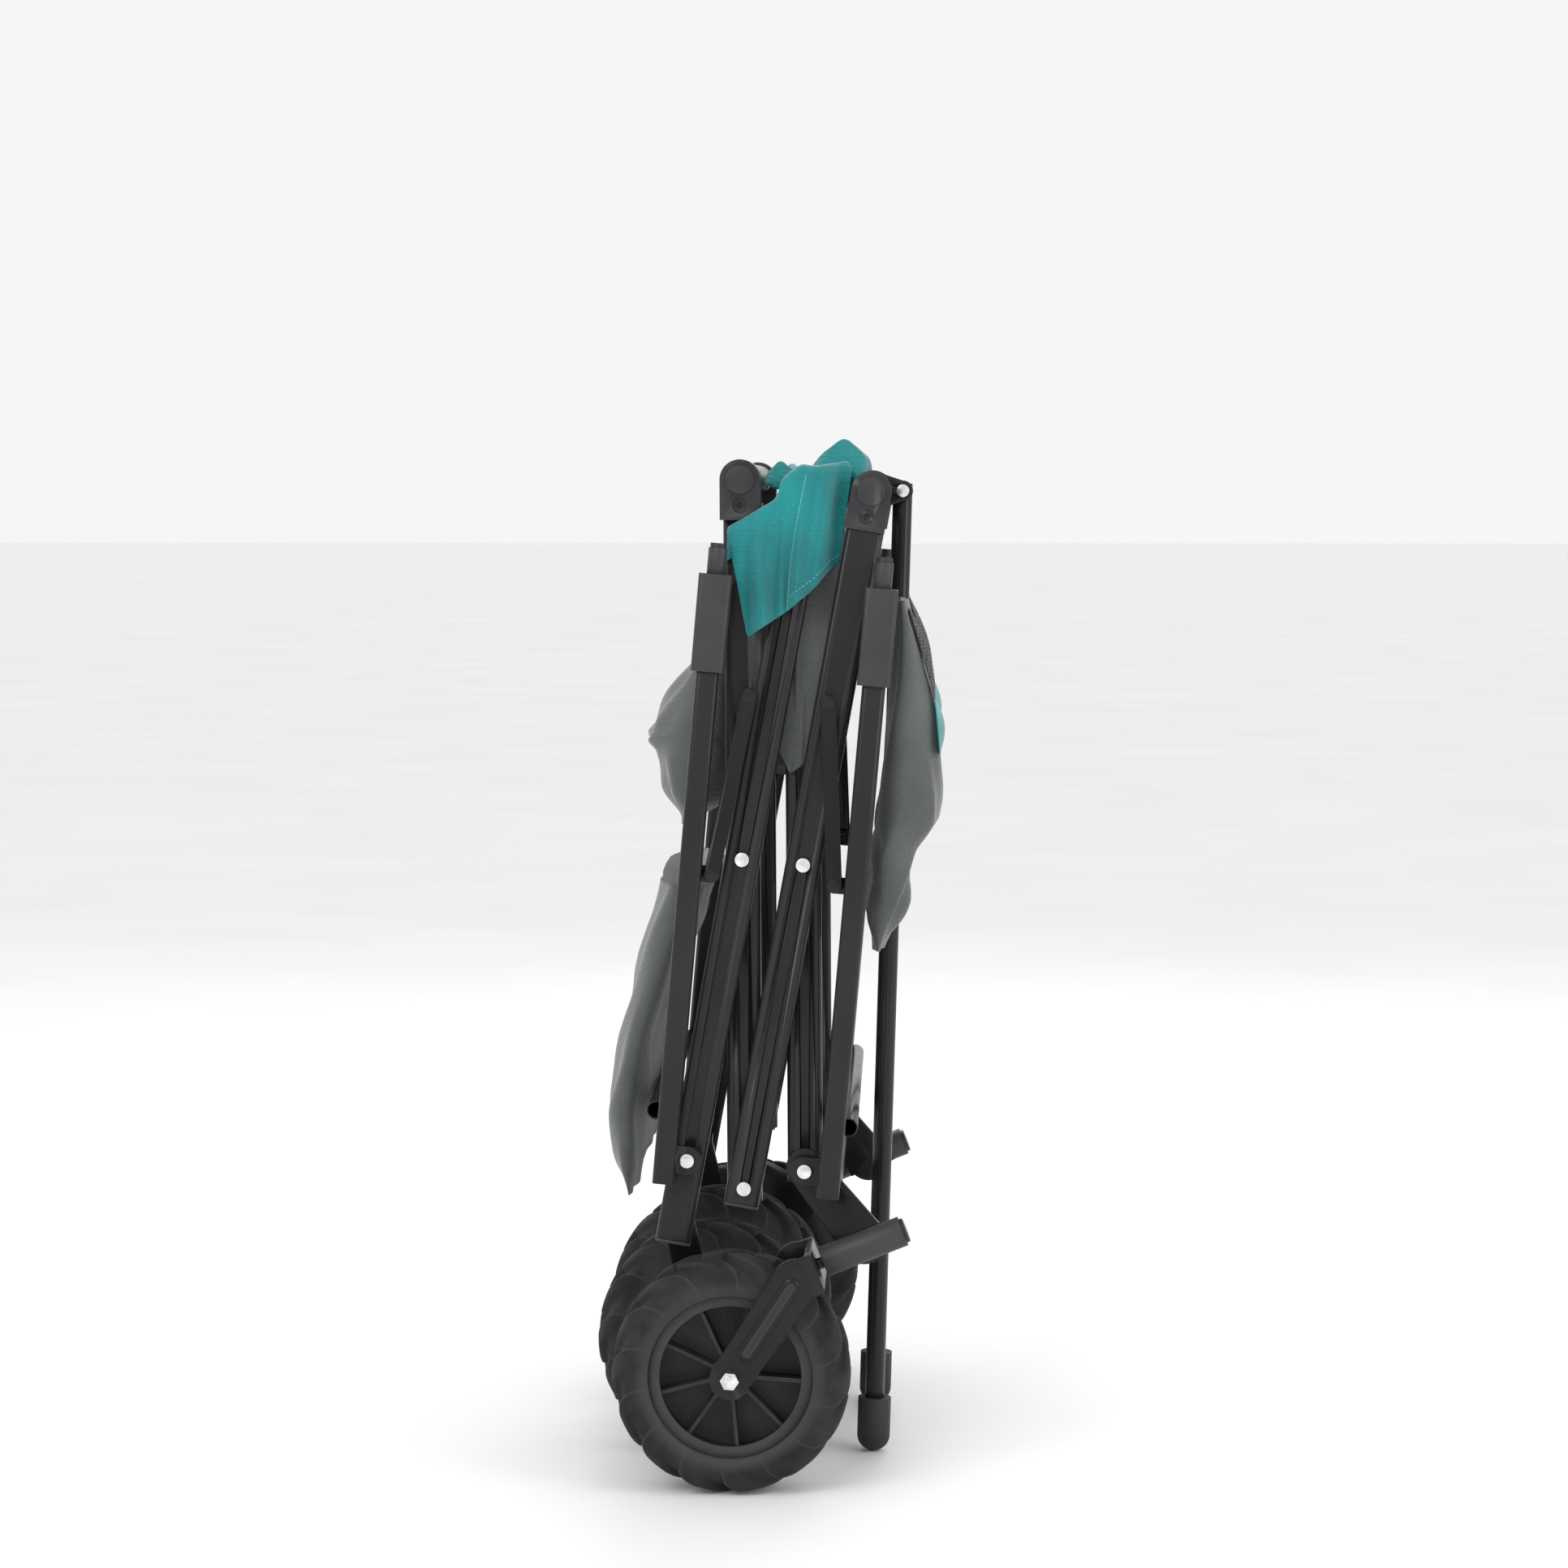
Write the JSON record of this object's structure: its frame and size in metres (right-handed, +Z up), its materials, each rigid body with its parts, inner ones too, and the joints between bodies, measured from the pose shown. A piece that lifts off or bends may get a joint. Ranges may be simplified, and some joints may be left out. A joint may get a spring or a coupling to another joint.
{
  "type": "folding pet stroller wagon",
  "caption": "Folding pet stroller wagon standing folded upright, with crossed side bars, corner posts, caster wheels, a swing-up handle and a fabric tub that opens with the frame.",
  "frame": {"origin": "centre of the standing, folded model's footprint, on the floor", "axes": "+X towards the handle side, +Y towards the left side of the wagon, +Z up"},
  "size_m": [0.2982, 0.59, 0.875],
  "materials": {
    "black_steel": "gloss",
    "black_plastic": "satin",
    "tyre": "matte",
    "rubber": "matte",
    "zinc_hardware": "satin",
    "grey_fabric": "woven polyester",
    "teal_fabric": "woven polyester",
    "black_mesh": "open mesh"
  },
  "bodies": {
    "rear_axle": {"rear_axle": "zinc_hardware", "axle_nuts": "zinc_hardware"},
    "rear_legs": {"rear_leg_right": "black_steel", "rear_leg_left": "black_steel", "axle_brackets": "black_steel", "leg_end_plugs": "black_plastic", "leg_rivets": "zinc_hardware"},
    "rear_wheel_right": {"rear_tyre_right": "tyre", "rear_rim_right": "black_plastic"},
    "rear_wheel_left": {"rear_tyre_left": "tyre", "rear_rim_left": "black_plastic"},
    "rear_posts": {"rear_post_right": "black_steel", "rear_post_left": "black_steel", "rear_post_crossbar": "black_steel", "rear_sockets": "black_plastic", "rear_pole_stubs": "black_plastic", "rear_post_rivets": "zinc_hardware", "rear_pocket": "grey_fabric"},
    "rear_links": {"rear_links": "black_steel"},
    "rear_arms": {"rear_arm_right": "black_steel", "rear_arm_left": "black_steel", "rear_top_tube": "black_steel", "rear_corner_joints": "black_plastic", "rear_arm_rivets": "zinc_hardware"},
    "rear_panel": {"rear_panel": "grey_fabric"},
    "front_panel": {"front_panel": "grey_fabric"},
    "front_bags": {"front_bags": "grey_fabric"},
    "front_legs": {"front_leg_right": "black_steel", "front_leg_left": "black_steel", "caster_brackets": "black_steel", "caster_housings": "black_plastic", "front_leg_crossbar": "black_steel", "front_leg_rivets": "zinc_hardware"},
    "front_arms": {"front_arm_right": "black_steel", "front_arm_left": "black_steel", "front_top_tube": "black_steel", "front_corner_joints": "black_plastic", "arm_end_plugs": "black_plastic", "handle_brackets": "black_steel", "handle_bolts": "zinc_hardware"},
    "front_posts": {"front_post_right": "black_steel", "front_post_left": "black_steel", "front_post_crossbar": "black_steel", "front_sockets": "black_plastic", "front_pole_stubs": "black_plastic", "front_post_rivets": "zinc_hardware"},
    "front_links": {"front_links": "black_steel"},
    "handle": {"handle_frame": "black_steel", "handle_feet": "rubber"},
    "fork_right": {"fork_right": "black_steel", "fork_bolt_right": "zinc_hardware"},
    "fork_left": {"fork_left": "black_steel", "fork_bolt_left": "zinc_hardware"},
    "front_wheel_right": {"front_tyre_right": "tyre", "front_rim_right": "black_plastic"},
    "front_wheel_left": {"front_tyre_left": "tyre", "front_rim_left": "black_plastic"}
  },
  "joints": [
    {"name": "unfold", "type": "hinge", "parent": "rear_legs", "child": "rear_posts", "pos_m": [-0.06293, 0, 0.28122], "axis": [0, -1, 0], "range_deg": [0, 63.2]},
    {"name": "axle_tilt", "type": "hinge", "parent": "rear_axle", "child": "rear_legs", "pos_m": [-0.04763, 0, 0.1015], "axis": [0, -1, 0], "range_deg": [-57.66, 0]},
    {"name": "rear_arm_cross", "type": "hinge", "parent": "rear_legs", "child": "rear_arms", "pos_m": [-0.01644, 0, 0.53703], "axis": [0, -1, 0], "range_deg": [0, 126.4]},
    {"name": "top_centre", "type": "hinge", "parent": "rear_legs", "child": "front_legs", "pos_m": [0.03386, 0, 0.81379], "axis": [0, -1, 0], "range_deg": [0, 126.4]},
    {"name": "front_arm_cross", "type": "hinge", "parent": "front_legs", "child": "front_arms", "pos_m": [0.03533, 0, 0.5325], "axis": [0, -1, 0], "range_deg": [-126.4, 0]},
    {"name": "front_post_pivot", "type": "hinge", "parent": "front_legs", "child": "front_posts", "pos_m": [0.03669, 0, 0.2725], "axis": [0, -1, 0], "range_deg": [-63.2, 0]},
    {"name": "rear_link_pivot", "type": "hinge", "parent": "rear_posts", "child": "rear_links", "pos_m": [-0.04158, 0, 0.52528], "axis": [0, -1, 0], "range_deg": [-123.4, 0]},
    {"name": "front_link_pivot", "type": "hinge", "parent": "front_posts", "child": "front_links", "pos_m": [0.06203, 0, 0.51622], "axis": [0, -1, 0], "range_deg": [0, 123.4]},
    {"name": "rear_fabric_drop", "type": "slide", "parent": "rear_posts", "child": "rear_panel", "axis": [-0.0872, 0, -0.9962], "range_m": [0, 0.3656]},
    {"name": "tub_stretch", "type": "slide", "parent": "rear_panel", "child": "front_panel", "axis": [0.9962, 0, -0.0872], "range_m": [0, 0.9073]},
    {"name": "front_bag_drop", "type": "slide", "parent": "front_posts", "child": "front_bags", "axis": [-0.0872, 0, -0.9962], "range_m": [0, 0.3656]},
    {"name": "handle_swing", "type": "hinge", "parent": "front_arms", "child": "handle", "pos_m": [0.11891, 0, 0.84853], "axis": [0, -1, 0], "range_deg": [0, 189.6]},
    {"name": "right_caster_swivel", "type": "hinge", "parent": "front_legs", "child": "fork_right", "pos_m": [0.08706, -0.244, 0.20917], "axis": [-0.9285, 0, -0.3714], "range_deg": [0, 90]},
    {"name": "left_caster_swivel", "type": "hinge", "parent": "front_legs", "child": "fork_left", "pos_m": [0.08706, 0.244, 0.20917], "axis": [0.9285, 0, 0.3714], "range_deg": [0, 90]},
    {"name": "right_front_wheel_spin", "type": "hinge", "parent": "fork_right", "child": "front_wheel_right", "pos_m": [-0.02486, -0.244, 0.1025], "axis": [0, 1, 0], "continuous": true},
    {"name": "left_front_wheel_spin", "type": "hinge", "parent": "fork_left", "child": "front_wheel_left", "pos_m": [-0.02486, 0.244, 0.1025], "axis": [0, 1, 0], "continuous": true},
    {"name": "right_rear_wheel_spin", "type": "hinge", "parent": "rear_axle", "child": "rear_wheel_right", "pos_m": [-0.04763, -0.09, 0.1015], "axis": [0, 1, 0], "continuous": true},
    {"name": "left_rear_wheel_spin", "type": "hinge", "parent": "rear_axle", "child": "rear_wheel_left", "pos_m": [-0.04763, 0.09, 0.1015], "axis": [0, 1, 0], "continuous": true}
  ],
  "couplings": [
    {"joint": "axle_tilt", "follows": "unfold", "ratio": -0.91202},
    {"joint": "rear_arm_cross", "follows": "unfold", "ratio": 2},
    {"joint": "top_centre", "follows": "unfold", "ratio": 2},
    {"joint": "front_arm_cross", "follows": "unfold", "ratio": -2},
    {"joint": "front_post_pivot", "follows": "unfold", "ratio": -1},
    {"joint": "rear_link_pivot", "follows": "unfold", "ratio": -1.9525},
    {"joint": "front_link_pivot", "follows": "unfold", "ratio": 1.9525},
    {"joint": "rear_fabric_drop", "follows": "unfold", "m_per_rad": 0.33141},
    {"joint": "tub_stretch", "follows": "unfold", "m_per_rad": 0.82246},
    {"joint": "front_bag_drop", "follows": "unfold", "m_per_rad": 0.33141},
    {"joint": "handle_swing", "follows": "unfold", "ratio": 3}
  ]
}
